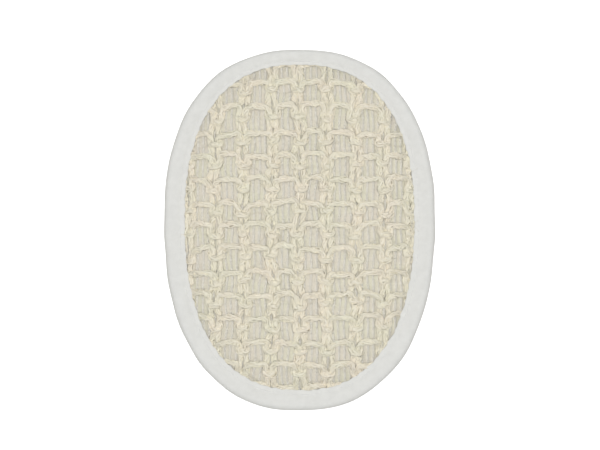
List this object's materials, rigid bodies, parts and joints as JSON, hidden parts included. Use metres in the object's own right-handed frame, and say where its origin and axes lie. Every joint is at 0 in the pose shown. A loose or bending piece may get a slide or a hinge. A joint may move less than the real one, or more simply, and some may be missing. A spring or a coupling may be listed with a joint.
{
  "type": "sisal bath scrub pad",
  "caption": "Oval bath scrub pad: an open knitted sisal face over a cotton lining and thin foam, a towelling back, and a white fabric binding sewn round the rim.",
  "frame": {"origin": "middle of the pad's box, on the surface that its back lies on", "axes": "+Z out of the knitted face, +Y toward the broad end of the oval, +X across the pad"},
  "size_m": [0.1124, 0.15, 0.0135],
  "materials": {
    "sisal_yarn": "dry cream sisal yarn with fine lengthwise fibres, matt",
    "lining_cotton": "fine ribbed ecru cotton, matt, seen through the knit",
    "foam": "pale open-cell foam, inside the cloths",
    "towelling": "looped cotton towelling, matt",
    "binding_fabric": "white soft woven binding tape, matt",
    "seam_thread": "white spun sewing thread"
  },
  "bodies": {
    "root": {"back_cloth": "towelling", "foam_core": "foam", "lining_cloth": "lining_cotton", "knit_course_01_length_1": "sisal_yarn", "knit_course_01_length_2": "sisal_yarn", "knit_course_01_length_3": "sisal_yarn", "knit_course_01_length_4": "sisal_yarn", "knit_course_01_length_5": "sisal_yarn", "knit_course_02_length_1": "sisal_yarn", "knit_course_02_length_2": "sisal_yarn", "knit_course_02_length_3": "sisal_yarn", "knit_course_03": "sisal_yarn", "knit_course_04": "sisal_yarn", "knit_course_05": "sisal_yarn", "knit_course_06": "sisal_yarn", "knit_course_07": "sisal_yarn", "knit_course_08": "sisal_yarn", "knit_course_09": "sisal_yarn", "knit_course_10": "sisal_yarn", "knit_course_11": "sisal_yarn", "knit_course_12": "sisal_yarn", "knit_course_13": "sisal_yarn", "knit_course_14_length_1": "sisal_yarn", "knit_course_14_length_2": "sisal_yarn", "knit_course_14_length_3": "sisal_yarn", "knit_course_15_length_1": "sisal_yarn", "knit_course_15_length_2": "sisal_yarn", "edge_binding": "binding_fabric", "seam_thread_front": "seam_thread", "seam_thread_back": "seam_thread"}
  },
  "joints": []
}
